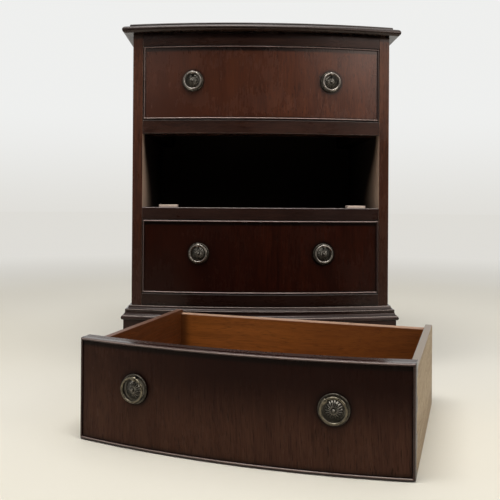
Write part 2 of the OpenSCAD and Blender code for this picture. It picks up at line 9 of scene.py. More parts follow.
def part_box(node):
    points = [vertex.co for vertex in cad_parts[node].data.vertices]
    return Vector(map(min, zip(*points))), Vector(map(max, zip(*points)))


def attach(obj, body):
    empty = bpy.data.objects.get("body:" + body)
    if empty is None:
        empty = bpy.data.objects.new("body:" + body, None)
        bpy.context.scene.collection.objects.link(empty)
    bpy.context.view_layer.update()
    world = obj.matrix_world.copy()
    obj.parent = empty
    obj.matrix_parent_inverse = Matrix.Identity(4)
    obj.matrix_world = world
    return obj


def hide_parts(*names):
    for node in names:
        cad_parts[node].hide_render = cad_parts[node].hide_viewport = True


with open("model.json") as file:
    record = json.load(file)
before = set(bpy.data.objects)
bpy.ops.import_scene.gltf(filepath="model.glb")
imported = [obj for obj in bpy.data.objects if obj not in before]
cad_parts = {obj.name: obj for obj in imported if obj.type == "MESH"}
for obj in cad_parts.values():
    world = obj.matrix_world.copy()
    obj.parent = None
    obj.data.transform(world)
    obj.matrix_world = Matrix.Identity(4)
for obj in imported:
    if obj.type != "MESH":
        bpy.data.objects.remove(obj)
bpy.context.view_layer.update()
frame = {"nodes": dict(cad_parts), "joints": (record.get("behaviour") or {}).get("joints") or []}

# ---- Bracket feet ----
# Four bracket feet of solid mahogany, each two boards mitred at the corner and fretted to a hollow.
# Pine blocks are glued in the corners behind them. The boards' arrises are rubbed down by hand.
FOOT_EASE = 0.0008
BLOCK_EASE = 0.001
ARRIS_ANGLE = radians(35)
SAME_POINT = 0.000002
FOOT_PALE = (0.034, 0.012, 0.008, 1)
FOOT_DEEP = (0.012, 0.005, 0.004, 1)
BARE_ARRIS = (0.075, 0.036, 0.024, 1)
PORE_AND_SHADE_BROWN = (0.004, 0.002, 0.0015, 1)
POLISH_TINT = (1.0, 0.87, 0.81, 1)
BLOCK_PALE = (0.42, 0.27, 0.14, 1)
BLOCK_DEEP = (0.26, 0.15, 0.07, 1)
DRIFT_SCALE = 4.0
DRIFT = (0.03, 0.03, 0)
FIBRE_SCALE = 900.0
PORE_SCALE = 1300.0
WORN_PATCH_SCALE = 55.0
CLOUD_SCALE = 12.0
RUB_SCALE = 260.0
WORN_WIDTH = 0.0015
SHADE_GRIME_OPEN, SHADE_GRIME_SHUT = 0.97, 0.76
COAT_ROUGH = 0.12
GRAIN_RELIEF = 0.6
SIDEWAYS = 0.7
GRAIN_ALONG = {
    "X": Matrix.Rotation(radians(90), 3, "Y"),
    "Y": Matrix.Rotation(radians(90), 3, "X"),
    "Z": Matrix.Identity(3),
}


def add_node(tree, kind, values=None, **settings):
    """A shader node, with its settings and the values or links of its inputs."""
    node = tree.nodes.new("ShaderNode" + kind)
    for name, value in settings.items():
        setattr(node, name, value)
    for name, value in (values or {}).items():
        if isinstance(value, bpy.types.NodeSocket):
            tree.links.new(value, node.inputs[name])
        else:
            node.inputs[name].default_value = value
    return node


def maths(tree, operation, first, second=0.0):
    """The result of a Math node."""
    return add_node(tree, "Math", {0: first, 1: second}, operation=operation).outputs[0]


def vectors(tree, operation, first, second):
    """The result of a Vector Math node."""
    return add_node(tree, "VectorMath", {0: first, 1: second}, operation=operation).outputs[0]


def weighed(tree, first, first_share, second, second_share):
    """Two values added up, each times its own share."""
    return maths(tree, "ADD", maths(tree, "MULTIPLY", first, first_share),
                 maths(tree, "MULTIPLY", second, second_share))


def ramp(tree, value, low, high, to_low=0.0, to_high=1.0):
    """A value stretched smoothly from one range to another."""
    ends = {"Value": value, "From Min": low, "From Max": high, "To Min": to_low, "To Max": to_high}
    return add_node(tree, "MapRange", ends, interpolation_type="SMOOTHSTEP").outputs["Result"]


def tint(tree, share, first, second):
    """Two colours mixed by a share."""
    return add_node(tree, "Mix", {0: share, 6: first, 7: second}, data_type="RGBA").outputs[2]


def noise(tree, vector, scale, detail=2.0, rough=0.5):
    """The value of a noise pattern."""
    return add_node(tree, "TexNoise", {"Vector": vector, "Scale": scale, "Detail": detail,
                                       "Roughness": rough}).outputs["Fac"]


def drawn_out(tree, vector, by):
    """A pattern's vector, for a pattern that is drawn out along the grain."""
    return vectors(tree, "MULTIPLY", vector, (1, 1, by))


def new_group(name, inputs, outputs):
    """An empty shader group with named inputs and outputs."""
    tree = bpy.data.node_groups.new(name, "ShaderNodeTree")
    for way, sockets in (("INPUT", inputs), ("OUTPUT", outputs)):
        for label, kind in sockets.items():
            tree.interface.new_socket(name=label, in_out=way, socket_type="NodeSocket" + kind)
    return tree, tree.nodes.new("NodeGroupInput").outputs, tree.nodes.new("NodeGroupOutput").inputs


def build_wood_grain():
    """Mahogany figure with the grain along Z: ribbon stripe, fibres and dark open pores."""
    tree, given, made = new_group(
        "wood_grain",
        {"Vector": "Vector", "Pale": "Color", "Deep": "Color", "Pore": "Color", "Stripe Scale": "Float",
         "Pore Amount": "Float"},
        {"Color": "Color", "Height": "Float"})
    drift = add_node(tree, "TexNoise", {"Vector": given["Vector"], "Scale": DRIFT_SCALE, "Detail": 1.0})
    centred = vectors(tree, "SUBTRACT", drift.outputs["Color"], (0.5, 0.5, 0.5))
    bent = vectors(tree, "ADD", given["Vector"], vectors(tree, "MULTIPLY", centred, DRIFT))
    broad = noise(tree, drawn_out(tree, bent, 0.16), maths(tree, "MULTIPLY", given["Stripe Scale"], 0.16))
    stripe = noise(tree, drawn_out(tree, bent, 0.05), given["Stripe Scale"], 3.0, 0.6)
    fibre = noise(tree, drawn_out(tree, bent, 0.02), FIBRE_SCALE)
    striped = weighed(tree, broad, 0.3, stripe, 0.35)
    tone = ramp(tree, maths(tree, "ADD", striped, maths(tree, "MULTIPLY", fibre, 0.35)), 0.34, 0.66)
    open_pores = ramp(tree, noise(tree, drawn_out(tree, bent, 0.04), PORE_SCALE, 1.0), 0.58, 0.7)
    pore = maths(tree, "MULTIPLY", open_pores, given["Pore Amount"])
    figure = tint(tree, tone, given["Deep"], given["Pale"])
    tree.links.new(tint(tree, pore, figure, given["Pore"]), made["Color"])
    tree.links.new(maths(tree, "SUBTRACT", maths(tree, "MULTIPLY", fibre, 0.5), pore), made["Height"])
    return tree


def build_edge_wear():
    """A mask of the arrises, where handling has rubbed the finish away in patches."""
    tree, given, made = new_group(
        "edge_wear", {"Vector": "Vector", "Radius": "Float", "Amount": "Float", "Evenness": "Float"},
        {"Mask": "Float"})
    rounded = add_node(tree, "Bevel", {"Radius": given["Radius"]}, samples=4).outputs["Normal"]
    flat = add_node(tree, "NewGeometry").outputs["Normal"]
    facing = add_node(tree, "VectorMath", {0: rounded, 1: flat}, operation="DOT_PRODUCT").outputs["Value"]
    edge = ramp(tree, facing, 0.995, 0.85)
    rubbed = ramp(tree, noise(tree, given["Vector"], WORN_PATCH_SCALE, 4.0, 0.65), 0.4, 0.62)
    patches = maths(tree, "MAXIMUM", rubbed, given["Evenness"])
    mask = maths(tree, "MULTIPLY", maths(tree, "MULTIPLY", edge, patches), given["Amount"])
    tree.links.new(mask, made["Mask"])
    return tree


def build_handling():
    """Uneven sheen of an old finish: broad cloudy patches and fine rubbing marks."""
    tree, given, made = new_group("handling", {"Vector": "Vector", "Low": "Float", "High": "Float"},
                                  {"Roughness": "Float"})
    clouds = noise(tree, given["Vector"], CLOUD_SCALE, 4.0, 0.6)
    rubs = noise(tree, drawn_out(tree, given["Vector"], 0.2), RUB_SCALE, 3.0, 0.6)
    level = ramp(tree, weighed(tree, clouds, 0.7, rubs, 0.3), 0.35, 0.65)
    spread = maths(tree, "SUBTRACT", given["High"], given["Low"])
    rough = maths(tree, "ADD", given["Low"], maths(tree, "MULTIPLY", level, spread))
    tree.links.new(rough, made["Roughness"])
    return tree


def build_shade_and_dirt():
    """A mask of the hollows and corners, from ambient occlusion, that a polishing cloth doesn't reach: on the
    wood it darkens them with grime and painted shade, on the brass with patina.
    """
    tree, given, made = new_group("shade_and_dirt", {"Distance": "Float", "Open": "Float", "Shut": "Float"},
                                  {"Mask": "Float"})
    air = add_node(tree, "AmbientOcclusion", {"Distance": given["Distance"]}, samples=8).outputs["AO"]
    tree.links.new(ramp(tree, air, given["Open"], given["Shut"]), made["Mask"])
    return tree


WOOD_GRAIN = build_wood_grain()
EDGE_WEAR = build_edge_wear()
HANDLING = build_handling()
SHADE_AND_DIRT = build_shade_and_dirt()


def place_group(tree, group, values):
    """A group placed in a material, with its own values."""
    return add_node(tree, "Group", values, node_tree=group).outputs


def new_material(name):
    """A material, with its node tree and its shader."""
    material = bpy.data.materials.new(name)
    material.use_nodes = True
    return material, material.node_tree, material.node_tree.nodes["Principled BSDF"]


def grain_vector(tree, along, turn):
    """Object coordinates, turned so that grain along X, Y or Z of a turned piece comes to lie along Z."""
    straight = (GRAIN_ALONG[along] @ Matrix.Rotation(turn, 3, "Z")).to_euler("XYZ")
    point = add_node(tree, "TexCoord").outputs["Object"]
    return add_node(tree, "Mapping", {"Vector": point, "Rotation": straight}).outputs[0]


def wood(name, pale, deep, along, sheen, stripe=240.0, pores=0.7, gloss=0.25, coat=0.0, relief=0.00012,
         wear=0.5, even=0.0, bare=BARE_ARRIS, shade_and_grime=0.0, turn=0.0, wrapped=False):
    """A timber finish, for a piece that was turned about Z. The grain of a wrapped one turns the corners."""
    finish, tree, shader = new_material(name)
    grain = grain_vector(tree, along, turn)
    if wrapped:
        normal = add_node(tree, "TexCoord").outputs["Normal"]
        across = maths(tree, "ABSOLUTE", add_node(tree, "SeparateXYZ", {0: normal}).outputs["X"])
        ways = {0: maths(tree, "GREATER_THAN", across, SIDEWAYS), 4: grain, 5: grain_vector(tree, "Y", turn)}
        grain = add_node(tree, "Mix", ways, data_type="VECTOR").outputs[1]
    figure = place_group(tree, WOOD_GRAIN, {"Vector": grain, "Pale": pale, "Deep": deep, "Pore": PORE_AND_SHADE_BROWN,
                                            "Stripe Scale": stripe, "Pore Amount": pores})
    worn = place_group(tree, EDGE_WEAR, {"Vector": grain, "Radius": WORN_WIDTH, "Amount": wear,
                                         "Evenness": even})["Mask"]
    used = place_group(tree, HANDLING, {"Vector": grain, "Low": sheen[0], "High": sheen[1]})["Roughness"]
    colour = tint(tree, worn, figure["Color"], bare)
    # Hollows and corners are darkened with grime and with painted shade.
    if shade_and_grime:
        shaded_and_dirty = place_group(tree, SHADE_AND_DIRT, {"Distance": shade_and_grime, "Open": SHADE_GRIME_OPEN,
                                            "Shut": SHADE_GRIME_SHUT})["Mask"]
        colour = tint(tree, shaded_and_dirty, colour, PORE_AND_SHADE_BROWN)
    tree.links.new(colour, shader.inputs["Base Color"])
    tree.links.new(used, shader.inputs["Roughness"])
    shader.inputs["Specular IOR Level"].default_value = gloss
    shader.inputs["Specular Tint"].default_value = POLISH_TINT
    shader.inputs["Coat Weight"].default_value = coat
    shader.inputs["Coat Roughness"].default_value = COAT_ROUGH
    bump = add_node(tree, "Bump", {"Height": figure["Height"], "Distance": relief, "Strength": GRAIN_RELIEF})
    tree.links.new(bump.outputs["Normal"], shader.inputs["Normal"])
    return finish


def new_piece(name, shape, finish):
    """An object made from a shape, with its finish."""
    mesh = bpy.data.meshes.new(name)
    shape.to_mesh(mesh)
    shape.free()
    mesh.materials.append(finish)
    piece = bpy.data.objects.new(name, mesh)
    bpy.context.scene.collection.objects.link(piece)
    return piece


def fit(piece, body, node):
    """Puts a piece in a solid's place: hides the solid and hangs the piece on its body."""
    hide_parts(node)
    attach(piece, body)


def merged_copy(node):
    """A copy of a solid's mesh, with its triangles joined up."""
    shape = bmesh.new()
    shape.from_mesh(frame["nodes"][node].data)
    bmesh.ops.remove_doubles(shape, verts=shape.verts, dist=SAME_POINT)
    return shape


def eased_board(node, ease, finish, body):
    """A board like the solid, with its arrises eased, that stands for the solid."""
    shape = merged_copy(node)
    bmesh.ops.dissolve_limit(shape, angle_limit=radians(0.1), use_dissolve_boundaries=False,
                             verts=shape.verts, edges=shape.edges, delimit=set())
    for face in shape.faces:
        face.smooth = True
    piece = new_piece(node + "_eased", shape, finish)
    bevel = piece.modifiers.new("eased_arrises", "BEVEL")
    bevel.width = ease
    bevel.segments = 2
    bevel.limit_method = "ANGLE"
    bevel.angle_limit = ARRIS_ANGLE
    piece.modifiers.new("flat_faces", "WEIGHTED_NORMAL")
    fit(piece, body, node)


foot_finish = wood("foot_mahogany", FOOT_PALE, FOOT_DEEP, "X", stripe=110.0, sheen=(0.32, 0.5), wear=0.7,
                   wrapped=True)
block_finish = wood("block_pine", BLOCK_PALE, BLOCK_DEEP, "Z", stripe=60.0, pores=0.2, sheen=(0.7, 0.85),
                    wear=0.0)
for corner in ("front_left", "front_right", "rear_left", "rear_right"):
    eased_board("foot_" + corner, FOOT_EASE, foot_finish, "carcase")
eased_board("foot_glue_blocks", BLOCK_EASE, block_finish, "carcase")

# ---- Base moulding ----
# A mahogany moulding, planed with a fillet, a cove, a second fillet and an ogee, glued round the carcase
# and mitred at the front corners. Its hollows are darkened with built-up polish and painted shade, and
# painted highlight lines run along its upper edges.
BOW_R = 1.1
BOW_STEPS = 64
SHARP_ANGLE = radians(50)
COVE_MIDDLE = (0.0096, 0.0223)
COVE_REACH = (0.005, 0.0039)
MOULDING_SECTION = [(0, 0.0245), (0.0041, 0.0245), (0.0044, 0.0242), (0.0044, 0.0226), (0.0046, 0.0223)]
MOULDING_SECTION += [(COVE_MIDDLE[0] - COVE_REACH[0] * cos(step * pi / 16),
                      COVE_MIDDLE[1] - COVE_REACH[1] * sin(step * pi / 16)) for step in range(1, 9)]
MOULDING_SECTION += [(0.01, 0.0183), (0.0103, 0.018), (0.0103, 0.0162), (0.0101, 0.0158),
                     (0.0102, 0.0135), (0.0106, 0.0117), (0.0113, 0.0102), (0.0123, 0.009),
                     (0.0135, 0.0081), (0.0147, 0.0074), (0.0157, 0.0067), (0.0164, 0.0057),
                     (0.0168, 0.0045), (0.0169, 0.0033), (0.0166, 0.002), (0.0159, 0.0008),
                     (0.0149, 0.0001), (0.014, 0), (0, 0)]
CREST_HEIGHTS = (0.0242, 0.018, 0.0072)
CREST_HALF = 0.0008
MOULDING_PALE = (0.034, 0.016, 0.0125, 1)
MOULDING_DEEP = (0.012, 0.006, 0.005, 1)
MOULDING_HIGHLIGHT = (0.2, 0.16, 0.14, 1)


def mix_over(finish, mask, colour, rough=None):
    """Lays another colour over a finish where the mask says."""
    tree = finish.node_tree
    shader = tree.nodes["Principled BSDF"].inputs
    under = shader["Base Color"].links[0].from_socket
    tree.links.new(tint(tree, mask, under, colour), shader["Base Color"])
    if rough is not None:
        levels = {0: mask, 2: shader["Roughness"].links[0].from_socket, 3: rough}
        tree.links.new(add_node(tree, "Mix", levels, data_type="FLOAT").outputs[0], shader["Roughness"])


def own_normal(tree, turn=0.0):
    """The surface's normal, in the frame of a piece that was turned about Z."""
    normal = add_node(tree, "TexCoord").outputs["Normal"]
    turned = add_node(tree, "Mapping", {"Vector": normal, "Rotation": (0, 0, turn)}, vector_type="VECTOR")
    return add_node(tree, "SeparateXYZ", {0: turned.outputs[0]}).outputs


def crest_light(tree, turn=0.0, forward=0.7, up=0.7):
    """How far the surface leans forwards and up, towards the lamps: the mask for painted highlights on
    rounded edges.
    """
    facing = own_normal(tree, turn)
    return weighed(tree, facing["Y"], -forward, facing["Z"], up)


def place_on(tree):
    """Where a point of the surface is."""
    return add_node(tree, "SeparateXYZ", {0: add_node(tree, "TexCoord").outputs["Object"]}).outputs


def verts_of(geometry):
    """The vertices among what an operator has made."""
    return [item for item in geometry if isinstance(item, bmesh.types.BMVert)]


def swept(section, steps):
    """A section drawn out along X in whole steps: Y says how far out a point is, Z its other measure."""
    shape = bmesh.new()
    points = [shape.verts.new((0, out, other)) for out, other in section]
    loop = [shape.edges.new(pair) for pair in zip(points, points[1:] + points[:1])]
    for step in range(steps):
        grown = bmesh.ops.extrude_edge_only(shape, edges=loop)["geom"]
        ends = verts_of(grown)
        bmesh.ops.translate(shape, verts=ends, vec=(1, 0, 0))
        loop = [item for item in grown
                if isinstance(item, bmesh.types.BMEdge) and set(ends).issuperset(item.verts)]
    return shape


def close_ends(shape):
    """Caps the open ends of a shape."""
    bmesh.ops.holes_fill(shape, edges=[edge for edge in shape.edges if edge.is_boundary], sides=0)


def bow_face(centre_y, out, across):
    """Where the bow stands, at a distance out from its face and a place across the front."""
    return centre_y - sqrt((BOW_R + out) ** 2 - across ** 2)


def finished(name, shape, finish, body, node):
    """A new piece from a finished shape, that stands for a solid."""
    bmesh.ops.remove_doubles(shape, verts=shape.verts, dist=SAME_POINT)
    bmesh.ops.recalc_face_normals(shape, faces=shape.faces)
    for face in shape.faces:
        face.smooth = True
    piece = new_piece(name, shape, finish)
    piece.data.set_sharp_from_angle(angle=SHARP_ANGLE)
    fit(piece, body, node)
    return piece


base_front_finish, base_side_finish = (
    wood(name, MOULDING_PALE, MOULDING_DEEP, along, sheen=(0.15, 0.25), gloss=0.27, coat=0.06,
         relief=0.00003, shade_and_grime=0.016)
    for name, along in (("base_moulding_mahogany", "X"), ("base_moulding_side_mahogany", "Y")))
moulding_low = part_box("base_moulding_front")[0]
tree = base_front_finish.node_tree
spot = place_on(tree)
# Painted highlight lines along the crests that lean forwards and up, towards the lamps.
crests = 0.0
for height in CREST_HEIGHTS:
    away = maths(tree, "ABSOLUTE", maths(tree, "SUBTRACT", spot["Z"], moulding_low.z + height))
    crests = maths(tree, "MAXIMUM", crests, ramp(tree, away, CREST_HALF, CREST_HALF / 3))
rubbed = maths(tree, "MULTIPLY", crests, ramp(tree, crest_light(tree), 0.7, 0.95))
mix_over(base_front_finish, rubbed, MOULDING_HIGHLIGHT)

carcase_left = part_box("left_side")[0].x
carcase_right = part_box("right_side")[1].x
carcase_half = (carcase_right - carcase_left) / 2
carcase_mid = (carcase_right + carcase_left) / 2
carcase_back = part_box("base_moulding_left")[1].y
bow_centre = moulding_low.y + BOW_R + max(out for out, up in MOULDING_SECTION)
front_run = swept(MOULDING_SECTION, BOW_STEPS)
close_ends(front_run)
for vert in front_run.verts:
    across = (2 * vert.co.x / BOW_STEPS - 1) * (carcase_half + vert.co.y)
    vert.co = (carcase_mid + across, bow_face(bow_centre, vert.co.y, across), moulding_low.z + vert.co.z)
finished("base_moulding_front_run", front_run, base_front_finish, "carcase",
         "base_moulding_front")
for hand, outward in (("left", -1), ("right", 1)):
    side_run = swept(MOULDING_SECTION, 1)
    close_ends(side_run)
    for vert in side_run.verts:
        across = carcase_half + vert.co.y
        mitre = bow_face(bow_centre, vert.co.y, across)
        vert.co = (carcase_mid + outward * across, mitre if vert.co.x < 0.5 else carcase_back,
                   moulding_low.z + vert.co.z)
    finished(f"base_moulding_{hand}_run", side_run, base_side_finish, "carcase",
             "base_moulding_" + hand)

# ---- Carcase sides ----
# Two boards of mahogany with the grain upright, whose front edges follow the bow. Rails are housed in
# them. They are polished outside and left bare inside, and carry painted light and shade: darker towards
# the floor and under the top, and inside lit near the front and shaded further back.
SIDE_EASE = 0.0008
SIDE_PALE = (0.1, 0.034, 0.016, 1)
SIDE_DEEP = (0.034, 0.011, 0.006, 1)
SIDE_BARE = (0.2, 0.13, 0.1, 1)
SIDE_LOW_SHADE = (0.022, 0.007, 0.004, 1)
SIDE_INNER_LIT = (0.5, 0.35, 0.255, 1)
SIDE_SHADE = (0.012, 0.007, 0.005, 1)
SIDE_SHADE_HEIGHTS = (0.12, 0.55)
LIT_AT_TOP = 0.04
LIT_AT_FLOOR = 0.17
TOP_SHADE = 0.011
OPENING_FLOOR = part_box("lower_divider")[1].z
OPENING_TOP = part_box("upper_divider")[0].z
side_low, side_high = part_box("left_side")


def shade_under_top(finish, spot, colour):
    """Paints shade on the last few millimetres under the top, where its overhang casts a shadow."""
    band = ramp(finish.node_tree, spot["Z"], side_high.z - TOP_SHADE, side_high.z - TOP_SHADE / 2, 0.0, 0.9)
    mix_over(finish, band, colour)


side_finish = wood("side_mahogany", SIDE_PALE, SIDE_DEEP, "Z", sheen=(0.22, 0.36), gloss=0.25, wear=0.7,
                   even=0.4, bare=SIDE_BARE)
tree = side_finish.node_tree
spot = place_on(tree)
# Painted shade: the sides grow darker towards the floor.
mix_over(side_finish, ramp(tree, spot["Z"], *SIDE_SHADE_HEIGHTS, 0.8, 0.0), SIDE_LOW_SHADE)
# Painted light and shade on the inner faces: lit near the front edge, deeper lower down, and shaded further
# back.
inward = maths(tree, "LESS_THAN", maths(tree, "MULTIPLY", spot["X"], own_normal(tree)["X"]), -0.1)
depth = maths(tree, "SUBTRACT", spot["Y"], side_low.y)
reach = ramp(tree, spot["Z"], OPENING_TOP, OPENING_FLOOR, LIT_AT_TOP, LIT_AT_FLOOR)
inner_shade = ramp(tree, maths(tree, "DIVIDE", depth, reach), 0.2, 0.95)
mix_over(side_finish, inward, tint(tree, inner_shade, SIDE_INNER_LIT, SIDE_SHADE), rough=0.7)
shade_under_top(side_finish, spot, SIDE_SHADE)
for hand in ("left", "right"):
    eased_board(hand + "_side", SIDE_EASE, side_finish, "carcase")

# ---- Back panel, bottom board and the strips inside ----
# Plain secondary wood: a thin back let into rabbets in the sides, a bottom board, and runners and kickers
# glued to the sides. None of it is polished, and the back's inner face and the strips are painted almost
# black as the shade inside the carcase.
BACK_EASE = 0.0005
STRIP_EASE = 0.0008
BACK_PALE = (0.2, 0.115, 0.06, 1)
BACK_DEEP = (0.12, 0.062, 0.03, 1)
BACK_BARE = (0.35, 0.22, 0.12, 1)
INSIDE_SHADE_PALE = (0.009, 0.0055, 0.0035, 1)
INSIDE_SHADE_DEEP = (0.004, 0.0025, 0.0018, 1)

back_finish = wood("back_oak", BACK_PALE, BACK_DEEP, "Z", stripe=45.0, sheen=(0.6, 0.8), gloss=0.15,
                   wear=0.3, bare=BACK_BARE)
tree = back_finish.node_tree
# Painted shade: the back's inner face is almost black.
mix_over(back_finish, maths(tree, "LESS_THAN", own_normal(tree)["Y"], -0.5), INSIDE_SHADE_PALE)
eased_board("back_panel", BACK_EASE, back_finish, "carcase")
strip_finish = wood("strip_oak", INSIDE_SHADE_PALE, INSIDE_SHADE_DEEP, "Y", stripe=60.0, sheen=(0.6, 0.8), gloss=0.1,
                    wear=0.0)
for strip in ("base_board", "lower_runners", "middle_runners", "upper_runners", "top_kickers"):
    eased_board(strip, STRIP_EASE, strip_finish, "carcase")

# ---- Back screws ----
# Countersunk slotted steel screws, turned and slit, that hold the back panel in its rabbets.
# Their heads lie flush with the panel, and have dulled to a brownish grey.
ROUND_STEPS = 32
SCREW_HEAD_R = 0.0034
SCREW_NECK_R = 0.0016
SCREW_HEAD_DEPTH = 0.0018
SCREW_RIM = 0.0004
SCREW_FACE = 0.00001
SCREW_SPACING = 0.05
SLOT_HALF = 0.00045
SLOT_DEPTH = 0.0011
SLOT_TURN = 0.9
SCREW_COLOUR = (0.36, 0.33, 0.29, 1)
SCREW_STAIN = (0.12, 0.08, 0.05, 1)
PIT_SCALE = 1400.0
PIT_DEPTH = 0.00006


def metal(name, bright, stained, patch_scale, patch_range, sheen, recess=0.0):
    """A bare metal finish, stained in patches, and darker where a recess keeps the polishing cloth out."""
    finish, tree, shader = new_material(name)
    point = add_node(tree, "TexCoord").outputs["Object"]
    patch = ramp(tree, noise(tree, point, patch_scale, 4.0, 0.65), *patch_range)
    if recess:
        hollow = ramp(tree, add_node(tree, "NewGeometry").outputs["Pointiness"], 0.53, 0.46)
        shade_and_dirt = place_group(tree, SHADE_AND_DIRT, {"Distance": recess, "Open": 0.95, "Shut": 0.35})["Mask"]
        patch = maths(tree, "MAXIMUM", maths(tree, "MAXIMUM", hollow, shade_and_dirt),
                      maths(tree, "MULTIPLY", patch, 0.6))
    used = place_group(tree, HANDLING, {"Vector": point, "Low": sheen[0], "High": sheen[1]})["Roughness"]
    pits = noise(tree, point, PIT_SCALE, 3.0)
    bump = add_node(tree, "Bump", {"Height": pits, "Distance": PIT_DEPTH, "Strength": 0.5})
    tree.links.new(tint(tree, patch, bright, stained), shader.inputs["Base Color"])
    tree.links.new(used, shader.inputs["Roughness"])
    tree.links.new(bump.outputs["Normal"], shader.inputs["Normal"])
    shader.inputs["Metallic"].default_value = 1.0
    return finish


def slotted_head(turn):
    """A countersunk head, looking up, with its slot."""
    head = bmesh.new()
    bmesh.ops.create_cone(head, cap_ends=True, segments=ROUND_STEPS, radius1=SCREW_NECK_R,
                          radius2=SCREW_HEAD_R, depth=SCREW_HEAD_DEPTH)
    bmesh.ops.translate(head, verts=head.verts, vec=(0, 0, -SCREW_HEAD_DEPTH / 2))
    top = max(head.faces, key=lambda face: face.calc_center_median().z)
    bmesh.ops.inset_region(head, faces=[top], thickness=SCREW_RIM, depth=0.0)
    for level in (-SLOT_HALF, SLOT_HALF):
        inner = [face for face in head.faces
                 if face.normal.z > 0.9 and face.calc_center_median().xy.length < SCREW_NECK_R]
        around = {item for face in inner for item in (*face.edges, *face.verts)}
        bmesh.ops.bisect_plane(head, geom=inner + list(around), dist=SAME_POINT / 2,
                               plane_co=(0, level, 0), plane_no=(0, 1, 0))
    slot = min((face for face in head.faces if face.normal.z > 0.9 and len(face.edges) < 30),
               key=lambda face: abs(face.calc_center_median().y) + (abs(face.calc_center_median().x) > 0.001))
    cut = verts_of(bmesh.ops.extrude_face_region(head, geom=[slot])["geom"])
    bmesh.ops.translate(head, verts=cut, vec=(0, 0, -SLOT_DEPTH))
    bmesh.ops.delete(head, geom=[slot], context="FACES_ONLY")
    bmesh.ops.transform(head, matrix=Matrix.Rotation(turn, 4, "Z"), verts=head.verts)
    return head


screw_finish = metal("screw_steel", SCREW_COLOUR, SCREW_STAIN, patch_scale=900.0, patch_range=(0.45, 0.6),
                     sheen=(0.35, 0.55))
screw_low, screw_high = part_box("back_screws")
solid_screws = merged_copy("back_screws")
rims = {}
for vert in solid_screws.verts:
    if vert.co.y > screw_high.y - SCREW_FACE:
        on_right = vert.co.x > (screw_low.x + screw_high.x) / 2
        row = round((vert.co.z - screw_low.z) / SCREW_SPACING)
        rims.setdefault((on_right, row), []).append(vert.co.copy())
solid_screws.free()
screws = bmesh.new()
for number, key in enumerate(sorted(rims)):
    head = slotted_head(number * SLOT_TURN)
    centre = sum(rims[key], Vector()) / len(rims[key])
    place = Matrix.Translation(centre) @ Matrix.Rotation(radians(-90), 4, "X")
    bmesh.ops.transform(head, matrix=place, verts=head.verts)
    head_mesh = bpy.data.meshes.new("screw_head")
    head.to_mesh(head_mesh)
    head.free()
    screws.from_mesh(head_mesh)
    bpy.data.meshes.remove(head_mesh)
fit(new_piece("slotted_screws", screws, screw_finish), "carcase", "back_screws")

# ---- Front rails ----
# Four bowed rails of mahogany, housed in the sides: one under the lower drawer, two between the drawers
# and the frieze under the top. The grain runs across, and the polish is thin on their arrises, which also
# serve as painted highlights. Painted shade darkens the lower rails and the band under the top.
RAIL_EASE = 0.0011
RAIL_PALE = (0.042, 0.017, 0.011, 1)
RAIL_DEEP = (0.014, 0.005, 0.0035, 1)
RAIL_BARE_HIGHLIGHT = (0.34, 0.28, 0.255, 1)
RAIL_HIGHLIGHT = (0.3, 0.255, 0.24, 1)
RAIL_LOW_SHADE = (0.008, 0.0025, 0.0018, 1)
RAIL_SHADE_HEIGHTS = (0.25, 0.42)
# The arrises are worn pale in an almost unbroken line, which also serves as a painted highlight.
rail_finish = wood("rail_mahogany", RAIL_PALE, RAIL_DEEP, "X", sheen=(0.24, 0.38), relief=0.00006, wear=0.9,
                   even=0.8, bare=RAIL_BARE_HIGHLIGHT, shade_and_grime=0.012)
tree = rail_finish.node_tree
spot = place_on(tree)
# Painted shade: the lower rails are darker.
mix_over(rail_finish, ramp(tree, spot["Z"], *RAIL_SHADE_HEIGHTS, 0.55, 0.0), RAIL_LOW_SHADE)
# Painted highlight on the faces that lean forwards and up, towards the lamps.
mix_over(rail_finish, ramp(tree, crest_light(tree), 0.8, 0.95), RAIL_HIGHLIGHT)
shade_under_top(rail_finish, spot, RAIL_LOW_SHADE)
for rail in ("bottom_rail", "lower_divider", "upper_divider", "frieze_rail"):
    eased_board(rail, RAIL_EASE, rail_finish, "carcase")

# ---- Drawer stops ----
# Small blocks of pale unfinished wood, two to a drawer, glued to the rails. The back of a closed drawer
# front meets them, so that all the fronts come to rest in line with the carcase.
STOP_EASE = 0.0006
STOP_PALE = (0.82, 0.66, 0.54, 1)
STOP_DEEP = (0.6, 0.46, 0.38, 1)
stop_finish = wood("stop_limewood", STOP_PALE, STOP_DEEP, "X", pores=0.3, sheen=(0.65, 0.8), wear=0.0)
eased_board("drawer_stops", STOP_EASE, stop_finish, "carcase")

# ---- Top ----
# A bowed mahogany board with a moulded edge: a rounded nosing, a fillet and a raised field above it.
# It is polished, and the front and side edges are separate strips, mitred at the corners.
TOP_EASE = 0.0001
TOP_EDGE_EASE = 0.00025
TOP_PALE = (0.022, 0.012, 0.0085, 1)
TOP_DEEP = (0.009, 0.005, 0.004, 1)
top_finish, top_side_finish = (
    wood(name, TOP_PALE, TOP_DEEP, along, sheen=(0.2, 0.32), gloss=0.4, relief=0.00004, wear=0.2, shade_and_grime=0.01)
    for name, along in (("top_mahogany", "X"), ("top_edge_side_mahogany", "Y")))
eased_board("top_board", TOP_EASE, top_finish, "carcase")
eased_board("top_edge_front", TOP_EDGE_EASE, top_finish, "carcase")
for hand in ("left", "right"):
    eased_board("top_edge_" + hand, TOP_EDGE_EASE, top_side_finish, "carcase")

